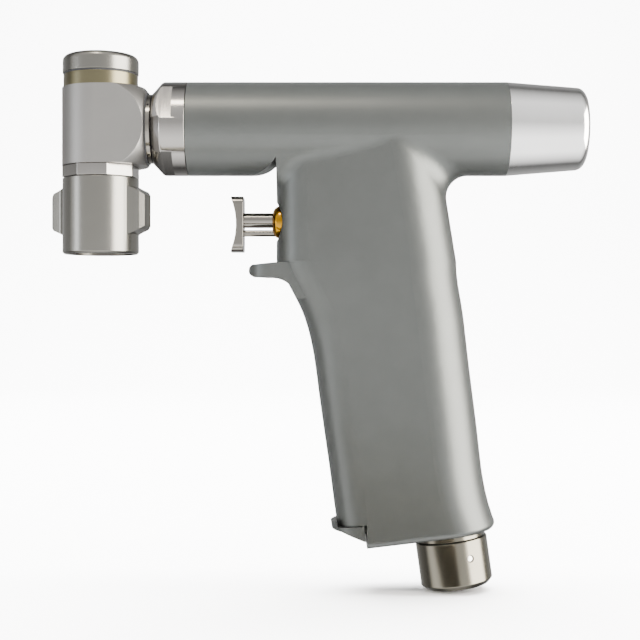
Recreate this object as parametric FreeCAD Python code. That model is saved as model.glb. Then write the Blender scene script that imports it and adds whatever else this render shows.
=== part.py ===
# Surgical oscillating saw: a pistol grip with an air motor in its barrel and a T head at the front.
# Millimetres. X runs from the head (negative) to the rear cap, Z is up, the grip is centred on Y = 0.
# The origin lies in the middle of the grip, where the palm holds it.
import FreeCAD
import Part
import math
import os

V = FreeCAD.Vector

# Fits: gaps between pieces that turn or slide, and between pieces that only pass each other.
RUN_FIT = 0.05
SHIELD_FIT = 0.08
LOOSE_FIT = 0.3
PRESS_GAP = 0.1

# Barrel: its axis above the middle of the grip, its length, and its rear end
BARREL_Z = 77.0
BARREL_R = 14.9
BARREL_LENGTH = 101.2
BARREL_REAR = 36.3
MOTOR_BORE_R = 12.8
SHAFT_TUNNEL_R = 8.0
SHAFT_TUNNEL_SETBACK = 5.9
SCOOP_LENGTH = 8.9
SCOOP_RISE = 4.8
SCOOP_OVERCUT = 0.1
BARREL_FRONT = BARREL_REAR - BARREL_LENGTH
BARREL_UNDER = BARREL_Z - BARREL_R

# Neck nut, index ring and seal, from the barrel forwards
NUT_LENGTH = 11.5
NUT_NOSE_R = 11.0
NUT_NOSE_LENGTH = 3.4
NUT_EDGE = 0.3
NUT_FLAT_DISTANCE = 13.6
NUT_FLAT_LENGTH = 7.2
NUT_FLAT_TURN = 60.0
NUT_LIP = 1.5
SPIGOT_R = 11.6
SPIGOT_LENGTH = 9.9
INDEX_RING_R = 11.0
INDEX_RING_LENGTH = 1.2
INDEX_HOLE_R = 0.4
NECK_SEAL_R = 11.5
NECK_SEAL_LENGTH = 0.5
NUT_FRONT = BARREL_FRONT - NUT_LENGTH
INDEX_RING_FRONT = NUT_FRONT - INDEX_RING_LENGTH

# Head: reach of its upright axis from the neck, and its heights from the barrel axis
HEAD_REACH = 15.0
HEAD_R = 12.3
HEAD_HALF_WIDTH = 12.2
HEAD_DROP = 11.9
HEAD_RISE = 12.8
HEAD_BORE_R = 9.5
HEAD_DOME_R = 18.3
HEAD_DOME_AHEAD = 1.3
NECK_TUBE_R = 8.6
NECK_TUBE_LENGTH = 13.0
NECK_WINDOW_R = 6.6
BRONZE_RING_R = 11.8
BRONZE_RING_HEIGHT = 4.2
CAP_SEAL_HEIGHT = 0.5
CAP_R = 12.06
CAP_INNER_R = 9.06
CAP_HEIGHT = 5.8
CAP_WALL = 1.6
CAP_EDGE = 2.0
RETAINER_CORNER_R = 12.3
RETAINER_HEIGHT = 3.8
RETAINER_TURN = -72.5
SKIRT_R = 9.9
SKIRT_LENGTH = 6.3
RETAINER_SPIGOT_R = 11.0
RETAINER_SPIGOT_LENGTH = 3.9
HEAD_END = INDEX_RING_FRONT - NECK_SEAL_LENGTH
HEAD_X = HEAD_END - HEAD_REACH
HEAD_BOTTOM = BARREL_Z - HEAD_DROP
HEAD_TOP = BARREL_Z + HEAD_RISE
RING_TOP = HEAD_TOP + BRONZE_RING_HEIGHT
CAP_BOTTOM = RING_TOP + CAP_SEAL_HEIGHT
CAP_TOP = CAP_BOTTOM + CAP_HEIGHT
RETAINER_BOTTOM = HEAD_BOTTOM - RETAINER_HEIGHT
SKIRT_BOTTOM = RETAINER_BOTTOM - SKIRT_LENGTH
NECK_TUBE_END = HEAD_END + NECK_TUBE_LENGTH

# Wing sleeve under the head, with its two wings and the snap ring that holds it
SLEEVE_R = 12.1
SLEEVE_LENGTH = 24.1
SLEEVE_GAP = 0.2
SLEEVE_CHAMFER = 0.6
SLEEVE_CHAMBER_R = 10.4
WING_REACH = 16.7
WING_WIDTH = 6.7
WING_BEVEL = 1.25
WING_BLEND_R = 2.2
WING_TURN = -20.0
WING_LOW = 7.8
WING_HIGH = 19.6
WING_SLANT = 1.7
SNAP_RING_DROP = 3.0
SNAP_RING_HEIGHT = 0.8
SNAP_RING_DEPTH = 0.6
SLEEVE_TOP = RETAINER_BOTTOM - SLEEVE_GAP
SLEEVE_BOTTOM = SLEEVE_TOP - SLEEVE_LENGTH
SNAP_RING_Z = RETAINER_BOTTOM - SNAP_RING_DROP - SNAP_RING_HEIGHT

# Blade clamp: a draw bar through the spindle, pushed down by a cross pin under ramps in the sleeve
RELEASE_TURN = 60.0
RELEASE_TRAVEL = 2.0
CAM_HEIGHT = 1.5
CAM_INNER_R = 6.2
RELEASE_PIN_R = 1.0
RELEASE_PIN_REACH = 9.6
DRAWBAR_R = 2.0
NOSE_SETBACK = 4.5
NOSE_FLANGE_R = 9.2
NOSE_FLANGE_HEIGHT = 2.5
CLAMP_DISC_R = 8.0
CLAMP_DISC_HEIGHT = 2.5
CLAMP_SEAT_GAP = 0.2
INDEX_PIN_R = 0.8
INDEX_PIN_CIRCLE_R = 5.6
INDEX_PIN_LENGTH = 1.9
CLAMP_SPRING_HEIGHT = 3.2
CLAMP_WASHER = 0.35
CLAMP_WASHER_COUNT = 4
DRAWBAR_NUT_R = 4.4
DRAWBAR_NUT_HEIGHT = 2.0
CAM_TOP = SKIRT_BOTTOM - 0.1
CAM_BOTTOM = CAM_TOP - CAM_HEIGHT
RELEASE_PIN_Z = CAM_BOTTOM - LOOSE_FIT - RELEASE_PIN_R
NOSE_BOTTOM = SLEEVE_BOTTOM + NOSE_SETBACK

# Spindle and its two bearings, each as (bore radius, outer radius, width)
SPINDLE_R = 4.5
SPINDLE_LOWER_R = 5.0
SPINDLE_PROUD = 1.4
SPINDLE_BEARING = (SPINDLE_R, 8.5, 5.0)
LOWER_BEARING_Z = RETAINER_BOTTOM + 0.7
UPPER_BEARING_Z = HEAD_TOP - SPINDLE_BEARING[2] - 0.2
SPINDLE_TOP = HEAD_TOP + SPINDLE_PROUD

# Rocker drive: an eccentric roller between the two prongs of a fork
ARM_LENGTH = 10.0
THROW = 0.4
ROLLER_R = 3.0
ROLLER_BORE_R = 1.5
ROLLER_LENGTH = 4.2
ROLLER_CROWN = 0.25
FORK_PLAY = 0.12
PRONG_THICKNESS = 1.7
FORK_HEIGHT = 6.0
FORK_HUB_R = 7.2
FORK_OVERHANG = 2.5
ECCENTRIC_X = HEAD_X + ARM_LENGTH
FORK_TIP_X = ECCENTRIC_X + FORK_OVERHANG

# Rear cap
REAR_CAP_LENGTH = 25.1
REAR_CAP_END_R = 13.1
REAR_CAP_CORNER = 2.8
REAR_CAP_WALL = 1.6
REAR_SPIGOT_LENGTH = 5.8
REAR_SPIGOT_R = 12.65
REAR_SPIGOT_WALL = 2.4
REAR_SEAL_R = 0.7

# Air motor, from the rear cap forwards
MOTOR_SPRING_LENGTH = 2.5
PLATE_THICKNESS = 4.0
CYLINDER_LENGTH = 30.0
ROTOR_R = 8.5
CYLINDER_BORE_R = 9.4
CYLINDER_OFFSET = 0.8
EXHAUST_SLOT_COUNT = 5
EXHAUST_SLOT_WIDTH = 1.6
EXHAUST_SLOT_RISE = 4.0
VANE_COUNT = 5
VANE_THICKNESS = 1.4
VANE_DEPTH = 4.2
VANE_FIT = 0.06
CRANK_R = 3.0
MOTOR_BEARING = (CRANK_R, 5.5, 3.0)
MOTOR_REAR = BARREL_REAR - REAR_SPIGOT_LENGTH - MOTOR_SPRING_LENGTH
MOTOR_FRONT = MOTOR_REAR - 2 * PLATE_THICKNESS - CYLINDER_LENGTH
MOTOR_BORE_FRONT = MOTOR_FRONT - 2.0
CYLINDER_FRONT = MOTOR_FRONT + PLATE_THICKNESS
CYLINDER_REAR = CYLINDER_FRONT + CYLINDER_LENGTH

# Crankshaft, its front bearing and the coupling behind it
CRANK_GAP = 7.0
SHAFT_END_GAP = 0.4
CRANK_BEARING_SETBACK = 5.9
CRANK_BEARING = (CRANK_R, 6.5, 4.0)
COUNTERWEIGHT_R = 5.6
COUNTERWEIGHT_SETBACK = 0.7
COUNTERWEIGHT_LENGTH = 3.4
COUPLING_R = 4.6
COUPLING_LENGTH = 8.4
COUPLING_SLOT = 0.8
CRANK_REAR = MOTOR_FRONT - CRANK_GAP
CRANK_BEARING_X = HEAD_END + CRANK_BEARING_SETBACK
COUNTERWEIGHT_FRONT = HEAD_END + COUNTERWEIGHT_SETBACK
COUNTERWEIGHT_REAR = COUNTERWEIGHT_FRONT + COUNTERWEIGHT_LENGTH
COUPLING_FRONT = CRANK_REAR - COUPLING_LENGTH / 2

# Grip: front and back lines in side view, lean angles, end radii of a level cut
GRIP_FRONT = -36.9
GRIP_FRONT_R = 11.3
GRIP_REAR_R = 14.2
GRIP_REAR_X = 24.8
GRIP_REAR_LEAN = 7.0
GRIP_THROAT_X = -24.4
GRIP_THROAT_Z = 10.0
GRIP_FRONT_LEAN = 8.0
GRIP_THROAT_CURVE = 0.020
GRIP_TOP_STEP = 1.6
SKIRT_FLARE_Z = -35.0
SKIRT_FLARE = 0.17
BLEND_R = 7.0
SPUR_DROP = 42.6
SPUR_REACH = 8.9
SPUR_WIDTH = 16.0
SPUR_TIP_R = 2.3
GRIP_HEIGHT = 128.9
TILT = 8.0
BASE_X = 18.6
SPUR_Z = BARREL_Z - SPUR_DROP
SPUR_TIP = GRIP_FRONT - SPUR_REACH
BASE_Z = BARREL_Z - GRIP_HEIGHT

# Trigger and valve, on one axis below the barrel
VALVE_DROP = 29.8
STEM_RAISE = 0.6
GUIDE_DROP = 3.5
SPOT_FACE_DEPTH = 2.6
BUTTON_GAP = 13.0
BUTTON_THICKNESS = 2.3
BUTTON_HEIGHT = 17.6
BUTTON_WIDTH = 11.0
BUTTON_DISH_R = 22.0
BUTTON_CORNER_R = 2.5
BUTTON_RAISE = 1.0
TRIGGER_TRAVEL = 6.5
STEM_R = 2.4
GUIDE_R = 1.05
WASHER_R = 6.4
WASHER_THICKNESS = 0.5
BUSHING_FLANGE_R = 5.2
BUSHING_FLANGE = 1.6
BUSHING_DOME = 1.8
BUSHING_SHANK_R = 5.0
BUSHING_DEPTH = 9.8
CARTRIDGE_R = 6.4
CARTRIDGE_LENGTH = 46.3
SPOOL_R = 4.0
SPOOL_LAND = 4.0
SPOOL_WAIST_R = 2.4
VALVE_PLUG_LENGTH = 2.5
SPRING_SPACE = 10.0
PORT_R = 2.0
SPRING_WIRE = 0.8
SPRING_R = 2.9
SPRING_TURNS = 4
VALVE_Z = BARREL_Z - VALVE_DROP
STEM_Z = VALVE_Z + STEM_RAISE
GUIDE_Z = VALVE_Z - GUIDE_DROP
SPOT_FACE = GRIP_FRONT + SPOT_FACE_DEPTH
BUTTON_BACK = SPOT_FACE - BUTTON_GAP
BUSHING_SHANK_END = SPOT_FACE + BUSHING_DEPTH
GUIDE_END = BUSHING_SHANK_END - TRIGGER_TRAVEL - 1.0
CARTRIDGE_END = SPOT_FACE + CARTRIDGE_LENGTH
SPOOL_END = CARTRIDGE_END - VALVE_PLUG_LENGTH - SPRING_SPACE
SPOOL_START = BUSHING_SHANK_END + LOOSE_FIT
FEED_PORT_X = SPOOL_END - PORT_R - 0.5

# Base: pocket, plate, lever and hose connector, measured up along the tilted grip axis
BASE_RIM_R = 2.0
POCKET_DEPTH = 7.6
POCKET_WALL = 2.4
PLATE_RECESS = 0.2
BASE_PLATE = 1.8
LEVER_STEP = 26.9
LEVER_TOP = 7.4
LEVER_SKIRT = 2.4
LEVER_INNER_R = 29.4
LEVER_ARM_WIDTH = 7.0
LEVER_ARM_THICKNESS = 2.6
LEVER_RING_R = 9.6
LEVER_REST = 10.0
LEVER_LIP = 1.4
LEVER_LIP_GAP = 0.5
LEVER_LIP_HEIGHT = 2.0
LEVER_STEP_X = BASE_X - LEVER_STEP
CONNECTOR_R = 11.4
CONNECTOR_NECK_R = 10.4
CONNECTOR_NECK = 1.6
CONNECTOR_LENGTH = 16.8
CONNECTOR_CHAMFER = 1.5
CONNECTOR_SEAL_R = 0.6
CONNECTOR_SEAL_RING_R = 4.9
SHANK_R = 6.8
SHANK_LENGTH = 13.0
SOCKET_R = 8.2
SOCKET_DEPTH = 11.0
SOCKET_FLOOR = SOCKET_DEPTH - CONNECTOR_LENGTH
AIR_PASSAGE_R = 3.7
INLET_TUBE_R = 3.6
INLET_TUBE_WALL = 0.7
INLET_TUBE_SEAT = 3.0
LOCK_PIN_R = 1.15
LOCK_PIN_COUNT = 3
LOCK_PIN_DEPTH = 7.3
LOCK_PIN_TURN = -67.0
LOCK_PIN_RECESS = 0.1
SCREW_R = 0.9
SCREW_POST_WALL = 0.8
SCREW_HEAD_R = 1.6
SCREW_HEAD = 1.0
SCREW_LENGTH = 7.3
SCREW_PLACE = (-14.0, 8.3)
MUFFLER_R = 5.0
MUFFLER_WALL = 1.8
MUFFLER_AHEAD = 17.0
MUFFLER_LENGTH = 52.0
MUFFLER_SEAT = 14.0

# A length longer than the whole saw, for cutting tools that run right through
THROUGH = 60.0
RISE = math.cos(math.radians(TILT))


def cylinder_x(x0, x1, radius, z=BARREL_Z, y=0.0):
    return Part.makeCylinder(radius, x1 - x0, V(x0, y, z), V(1, 0, 0))


def cylinder_z(z0, z1, radius, x=HEAD_X, y=0.0):
    return Part.makeCylinder(radius, z1 - z0, V(x, y, z0), V(0, 0, 1))


def ring_x(x0, x1, outer, inner, z=BARREL_Z):
    return cylinder_x(x0, x1, outer, z).cut(cylinder_x(x0 - 1, x1 + 1, inner, z))


def ring_z(z0, z1, outer, inner, x=HEAD_X):
    return cylinder_z(z0, z1, outer, x).cut(cylinder_z(z0 - 1, z1 + 1, inner, x))


def face(steps, place):
    """Closed outline: points joined by lines, or (middle, end) pairs for arcs."""
    start = place(*steps[0])
    here = start
    edges = []
    for step in steps[1:]:
        if isinstance(step[0], tuple):
            middle, end = place(*step[0]), place(*step[1])
            edges.append(Part.Arc(here, middle, end).toShape())
        else:
            end = place(*step)
            edges.append(Part.makeLine(here, end))
        here = end
    if here.distanceToPoint(start) > 1e-6:
        edges.append(Part.makeLine(here, start))
    return Part.Face(Part.Wire(edges))


def turned_x(steps, z=BARREL_Z):
    """Revolve an outline of (x, radius) about an axis along X."""
    profile = face(steps, lambda x, r: V(x, 0, z + r))
    return profile.revolve(V(0, 0, z), V(1, 0, 0), 360)


def turned_z(steps, x=HEAD_X):
    """Revolve an outline of (radius, z) about an axis along Z."""
    profile = face(steps, lambda r, z: V(x + r, 0, z))
    return profile.revolve(V(x, 0, 0), V(0, 0, 1), 360)


def side_slab(steps, y0, y1):
    """Extrude an outline of (x, z) between two places along Y."""
    profile = face(steps, lambda x, z: V(x, y0, z))
    return profile.extrude(V(0, y1 - y0, 0))


def to_base(shape):
    """Move a shape drawn about Z to the tilted grip axis, its zero at the base plane."""
    placed = shape.copy()
    placed.rotate(V(0, 0, 0), V(0, 1, 0), -TILT)
    placed.translate(V(BASE_X, 0, BASE_Z))
    return placed


def base_height(point):
    """Height of a point above the base plane, measured along the tilted grip axis."""
    lean = math.radians(TILT)
    return (point - V(BASE_X, 0, BASE_Z)).dot(V(-math.sin(lean), 0, math.cos(lean)))


def base_cylinder(w0, w1, radius, u=0.0, v=0.0):
    return to_base(Part.makeCylinder(radius, w1 - w0, V(u, v, w0)))


def base_slab(w0, w1):
    """A wide flat slab across the grip between two heights along its axis."""
    corner = V(-THROUGH, -THROUGH / 2, w0)
    return to_base(Part.makeBox(2 * THROUGH, THROUGH, w1 - w0, corner))


def ahead_of_step(clearance=0.0):
    """Everything in front of the step where the lever starts."""
    corner = V(LEVER_STEP_X - clearance - THROUGH, -THROUGH / 2, BASE_Z - THROUGH / 2)
    return Part.makeBox(THROUGH, THROUGH, THROUGH, corner)


def round_section(z, front, rear, front_r, rear_r):
    """One level cut of the grip: two round ends joined by straight sides."""
    front_c, rear_c = front + front_r, rear - rear_r
    slope = math.asin((rear_r - front_r) / (rear_c - front_c))
    s, c = math.sin(slope), math.cos(slope)
    near_front = V(front_c - front_r * s, -front_r * c, z)
    far_front = V(front_c - front_r * s, front_r * c, z)
    near_rear = V(rear_c - rear_r * s, -rear_r * c, z)
    far_rear = V(rear_c - rear_r * s, rear_r * c, z)
    return Part.Wire([
        Part.Arc(near_front, V(front, 0, z), far_front).toShape(),
        Part.makeLine(far_front, far_rear),
        Part.Arc(far_rear, V(rear, 0, z), near_rear).toShape(),
        Part.makeLine(near_rear, near_front),
    ])


def grip_rear(z):
    """The back line leans with the grip and flares over the last stretch to the base."""
    flare = max(0.0, SKIRT_FLARE_Z - z) * SKIRT_FLARE
    return GRIP_REAR_X - z * math.tan(math.radians(GRIP_REAR_LEAN)) + flare


def grip_front(z):
    """The front line leans with the grip and curves forwards under the spur."""
    throat = max(0.0, z - GRIP_THROAT_Z)
    return GRIP_THROAT_X - z * math.tan(math.radians(GRIP_FRONT_LEAN)) - throat ** 2 * GRIP_THROAT_CURVE


def grip_shell(inset=0.0):
    """The two lofts of the grip, above and below the spur, or the same drawn in by a wall."""
    top = (BARREL_Z, GRIP_FRONT, grip_rear(BARREL_Z) - GRIP_TOP_STEP)
    upper = [top, (SPUR_Z, GRIP_FRONT, grip_rear(SPUR_Z))]
    count = 7
    bottom = BASE_Z - CONNECTOR_R
    lower = []
    for number in range(count + 1):
        z = SPUR_Z + (bottom - SPUR_Z) * number / count
        lower.append((z, max(grip_front(z), GRIP_FRONT + 0.9), grip_rear(z)))
    blocks = []
    for levels in (upper, lower):
        wires = [
            round_section(z, front + inset, rear - inset, GRIP_FRONT_R - inset, GRIP_REAR_R - inset)
            for z, front, rear in levels
        ]
        blocks.append(Part.makeLoft(wires, True, False))
    return blocks


def handle_form():
    """Barrel, upper grip and their rounded corner, then the lower grip and the finger spur."""
    upper, lower = grip_shell()
    body = cylinder_x(BARREL_FRONT, BARREL_REAR, BARREL_R).fuse(upper)
    joint = [edge for edge in body.Edges
             if GRIP_FRONT - 1 < edge.BoundBox.XMin and edge.BoundBox.XMax < BARREL_REAR - 1
             and edge.BoundBox.ZMin > BARREL_UNDER - 1]
    body = body.makeFillet(BLEND_R, joint)
    return body.cut(finger_scoop()).fuse([lower, finger_spur()]).removeSplitter().Solids[0]


def finger_scoop():
    """Relief under the barrel, just in front of the grip, that rises in an arc to a sharp corner."""
    start = GRIP_FRONT - SCOOP_LENGTH
    end = GRIP_FRONT + SCOOP_OVERCUT
    radius = (SCOOP_LENGTH ** 2 + SCOOP_RISE ** 2) / (2 * SCOOP_RISE)
    mid_rise = radius - math.sqrt(radius ** 2 - (SCOOP_LENGTH / 2) ** 2)
    below = BARREL_UNDER - BLEND_R - 2
    return side_slab([
        (start, BARREL_UNDER),
        ((start + SCOOP_LENGTH / 2, BARREL_UNDER + mid_rise), (end, BARREL_UNDER + SCOOP_RISE)),
        (end, below),
        (start, below),
    ], -BARREL_R - 1, BARREL_R + 1)


def finger_spur():
    """The hooked rest under the trigger, rounded in plan, its underside curving into the grip."""
    low = SPUR_Z - 2 * SPUR_TIP_R
    inside = GRIP_FRONT + 12
    toe_z = low - 7
    toe = grip_front(toe_z) + 0.4
    hook = side_slab([
        (inside, SPUR_Z), (GRIP_FRONT, SPUR_Z - 0.2), (SPUR_TIP + SPUR_TIP_R, SPUR_Z - 0.8),
        ((SPUR_TIP, SPUR_Z - SPUR_TIP_R - 0.4), (SPUR_TIP + SPUR_TIP_R, low)),
        (GRIP_FRONT - 1.4, low - 0.2),
        ((GRIP_FRONT + 3.6, low - 2.0), (toe, toe_z)), (inside, toe_z),
    ], -SPUR_WIDTH, SPUR_WIDTH)
    half = SPUR_WIDTH / 2
    plan_low = SPUR_Z - THROUGH / 2
    plan = Part.makeCylinder(half, THROUGH, V(SPUR_TIP + half, 0, plan_low))
    reach = Part.makeBox(inside - SPUR_TIP, SPUR_WIDTH, THROUGH, V(SPUR_TIP + half, -half, plan_low))
    return hook.common(plan.fuse(reach))


def handle_housing():
    """One casting: barrel and grip, bored for the motor, the valve and the air ways."""
    body = handle_form().cut(base_slab(-THROUGH, 0))
    rim = [edge for edge in body.Edges if all(abs(base_height(corner.Point)) < 0.01 for corner in edge.Vertexes)]
    body = body.makeFillet(BASE_RIM_R, rim)
    body = body.fuse(cylinder_x(BARREL_FRONT - SPIGOT_LENGTH, BARREL_FRONT, SPIGOT_R))
    pocket = grip_shell(POCKET_WALL)[1].common(base_slab(-1, POCKET_DEPTH))
    front_cut = ahead_of_step().common(base_slab(-THROUGH, POCKET_DEPTH))
    plate_top = PLATE_RECESS + BASE_PLATE
    post_r = SCREW_R + SCREW_POST_WALL
    posts = [base_cylinder(plate_top, POCKET_DEPTH + PRESS_GAP, post_r, u, v) for u, v in screw_places()]
    body = body.cut([pocket, front_cut]).fuse(posts)
    tunnel = BARREL_FRONT + SHAFT_TUNNEL_SETBACK
    ways = [
        cylinder_x(MOTOR_BORE_FRONT, BARREL_REAR + 1, MOTOR_BORE_R),
        cylinder_x(tunnel, MOTOR_BORE_FRONT + 1, SHAFT_TUNNEL_R),
        cylinder_x(BARREL_FRONT - SPIGOT_LENGTH - 1, NECK_TUBE_END + PRESS_GAP, NECK_TUBE_R + RUN_FIT),
        cylinder_x(NECK_TUBE_END, tunnel + 1, CRANK_R + 1.5),
        cylinder_x(SPUR_TIP - 10, SPOT_FACE, WASHER_R + 0.1, VALVE_Z),
        cylinder_x(SPOT_FACE - 1, CARTRIDGE_END, CARTRIDGE_R + RUN_FIT, VALVE_Z),
        Part.makeCylinder(PORT_R, BARREL_Z - VALVE_Z, V(FEED_PORT_X, 0, VALVE_Z)),
        base_cylinder(0, SHANK_LENGTH + 0.5, SHANK_R + RUN_FIT),
        base_cylinder(0, inlet_top(), AIR_PASSAGE_R),
        base_cylinder(0, MUFFLER_LENGTH + MUFFLER_SEAT, MUFFLER_R + 0.1, u=-MUFFLER_AHEAD),
    ]
    ways += [base_cylinder(0, PLATE_RECESS + SCREW_LENGTH + 1, SCREW_R, u, v) for u, v in screw_places()]
    for way in ways:
        body = body.cut(way)
    return body


def inlet_top():
    """Height along the grip axis where the inlet tube meets the underside of the valve cartridge."""
    return (VALVE_Z - CARTRIDGE_R - BASE_Z) / RISE


def screw_places():
    return [(SCREW_PLACE[0], side * SCREW_PLACE[1]) for side in (-1, 1)]


def bearing(shaft_r, outer_r, width, place):
    """Shielded ball bearing about Z at zero: an outer ring with balls, and an inner ring."""
    wall = (outer_r - shaft_r) * 0.28
    inner_r, race_r = shaft_r + wall, outer_r - wall
    lip = inner_r + SHIELD_FIT
    shield = 0.3
    outer = [(outer_r, 0), (outer_r, width), (lip, width), (lip, width - shield), (race_r, width - shield),
             (race_r, shield), (lip, shield), (lip, 0)]
    inner = [(shaft_r, 0), (shaft_r, width), (inner_r, width), (inner_r, 0)]
    parts = []
    for outline in (outer, inner):
        parts.append(place(face(outline, lambda r, z: V(r, 0, z)).revolve(V(0, 0, 0), V(0, 0, 1), 360)))
    return parts


def place_on_barrel(x):
    def place(shape):
        moved = shape.copy()
        moved.rotate(V(0, 0, 0), V(0, 1, 0), 90)
        moved.translate(V(x, 0, BARREL_Z))
        return moved
    return place


def place_on_head(z):
    def place(shape):
        moved = shape.copy()
        moved.translate(V(HEAD_X, 0, z))
        return moved
    return place


def neck_nut():
    """Round nut with a cone nose, a small chamfer at the barrel and four wrench flats."""
    inner = SPIGOT_R + RUN_FIT
    tube = NECK_TUBE_R + PRESS_GAP
    lip = NUT_FRONT + NUT_LIP
    cone_end = NUT_FRONT + NUT_NOSE_LENGTH
    shoulder = (cone_end + NUT_EDGE, BARREL_R - NUT_EDGE / 3)
    nut = turned_x([
        (NUT_FRONT, tube), (NUT_FRONT, NUT_NOSE_R), (cone_end, BARREL_R - NUT_EDGE),
        (shoulder, (cone_end + 3 * NUT_EDGE, BARREL_R)), (BARREL_FRONT - NUT_EDGE, BARREL_R),
        (BARREL_FRONT, BARREL_R - NUT_EDGE), (BARREL_FRONT, inner), (lip, inner), (lip, tube),
    ])
    for number in range(4):
        flat = Part.makeBox(NUT_FLAT_LENGTH, 2 * BARREL_R, BARREL_R,
                            V(NUT_FRONT, -BARREL_R, BARREL_Z + NUT_FLAT_DISTANCE))
        flat.rotate(V(0, 0, BARREL_Z), V(1, 0, 0), NUT_FLAT_TURN + 90 * number)
        nut = nut.cut(flat)
    return nut


def index_ring():
    ring = ring_x(INDEX_RING_FRONT, NUT_FRONT, INDEX_RING_R, NECK_TUBE_R + RUN_FIT)
    for turn in range(8):
        angle = math.radians(45 * turn + 36)
        centre = V(INDEX_RING_FRONT + INDEX_RING_LENGTH / 2, 0, BARREL_Z)
        way = V(0, math.sin(angle), math.cos(angle))
        ring = ring.cut(Part.makeCylinder(INDEX_HOLE_R, 1.2, centre + way * (INDEX_RING_R - 0.8), way))
    return ring


def head_housing():
    """T body: round at the front, flat sides, turned to a dome where it meets the neck."""
    block = cylinder_z(HEAD_BOTTOM, HEAD_TOP, HEAD_R)
    flats = Part.makeBox(HEAD_REACH, 2 * HEAD_HALF_WIDTH, HEAD_TOP - HEAD_BOTTOM,
                         V(HEAD_X, -HEAD_HALF_WIDTH, HEAD_BOTTOM))
    centre = HEAD_X + HEAD_DOME_AHEAD
    dome = Part.makeSphere(HEAD_DOME_R, V(centre, 0, BARREL_Z)).fuse(
        cylinder_x(centre - 2 * HEAD_R, centre, HEAD_DOME_R))
    body = block.fuse(flats).common(dome).removeSplitter()
    body = body.fuse(cylinder_x(HEAD_X + 4, NECK_TUBE_END, NECK_TUBE_R))
    seat = UPPER_BEARING_Z
    return body.cut([
        cylinder_z(HEAD_BOTTOM - 1, seat, HEAD_BORE_R),
        cylinder_z(HEAD_BOTTOM - 1, HEAD_BOTTOM + RETAINER_SPIGOT_LENGTH, RETAINER_SPIGOT_R),
        cylinder_z(seat - 1, HEAD_TOP + 1, SPINDLE_BEARING[1]),
        cylinder_x(HEAD_X, HEAD_END, NECK_WINDOW_R),
        cylinder_x(HEAD_END - 1, CRANK_BEARING_X, COUNTERWEIGHT_R + 0.5),
        cylinder_x(CRANK_BEARING_X, NECK_TUBE_END + 1, CRANK_BEARING[1]),
    ])


def head_cap():
    """Closed cap over the top bearing and the draw bar."""
    mid = CAP_EDGE * 0.293
    return turned_z([
        (0, CAP_TOP), (CAP_R - CAP_EDGE, CAP_TOP),
        ((CAP_R - mid, CAP_TOP - mid), (CAP_R, CAP_TOP - CAP_EDGE)),
        (CAP_R, CAP_BOTTOM), (CAP_INNER_R, CAP_BOTTOM), (CAP_INNER_R, CAP_TOP - CAP_WALL),
        (0, CAP_TOP - CAP_WALL),
    ])


def bearing_retainer():
    """Eight-sided retainer with a spigot up into the head and a skirt down into the sleeve."""
    corners = []
    for corner in range(8):
        angle = math.radians(RETAINER_TURN + 45 * corner)
        corners.append(V(HEAD_X + RETAINER_CORNER_R * math.cos(angle), RETAINER_CORNER_R * math.sin(angle),
                         RETAINER_BOTTOM))
    block = Part.Face(Part.makePolygon(corners + corners[:1])).extrude(V(0, 0, RETAINER_HEIGHT))
    top = HEAD_BOTTOM + RETAINER_SPIGOT_LENGTH
    skirt = cylinder_z(SKIRT_BOTTOM, RETAINER_BOTTOM, SKIRT_R)
    block = block.fuse([skirt, cylinder_z(HEAD_BOTTOM, top, RETAINER_SPIGOT_R)])
    return block.cut([
        cylinder_z(LOWER_BEARING_Z, top + 1, SPINDLE_BEARING[1]),
        cylinder_z(SKIRT_BOTTOM - 1, LOWER_BEARING_Z + 1, SPINDLE_LOWER_R + 1.0),
        ring_z(SNAP_RING_Z, SNAP_RING_Z + SNAP_RING_HEIGHT, SKIRT_R + 1, SKIRT_R - SNAP_RING_DEPTH),
    ])


def sleeve_ring():
    """Snap ring that keeps the wing sleeve on the skirt."""
    high = SNAP_RING_Z + SNAP_RING_HEIGHT
    ring = ring_z(SNAP_RING_Z, high, SKIRT_R + 0.8, SKIRT_R - SNAP_RING_DEPTH)
    return ring.cut(Part.makeBox(4, 3, 2, V(HEAD_X + SKIRT_R - 2, -1.5, SNAP_RING_Z - 0.5)))


def wing_sleeve():
    """Sleeve with two bevelled wings, hollow below for the blade clamp."""
    low, high = SLEEVE_BOTTOM, SLEEVE_TOP
    neck = SKIRT_R + RUN_FIT
    groove = SKIRT_R + 1.1
    groove_low, groove_high = SNAP_RING_Z - LOOSE_FIT, SNAP_RING_Z + SNAP_RING_HEIGHT + LOOSE_FIT
    chamber = turned_z([
        (0, low - 1), (SLEEVE_CHAMBER_R, low - 1), (SLEEVE_CHAMBER_R, CAM_TOP), (neck, CAM_TOP),
        (neck, groove_low), (groove, groove_low), (groove, groove_high), (neck, groove_high),
        (neck, high + 1), (0, high + 1),
    ])
    body = turned_z([
        (0, low), (SLEEVE_R - SLEEVE_CHAMFER, low), (SLEEVE_R, low + SLEEVE_CHAMFER),
        (SLEEVE_R, high), (0, high),
    ])
    return body.fuse([wing(WING_TURN), wing(180 + WING_TURN)]).cut(chamber)


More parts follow.
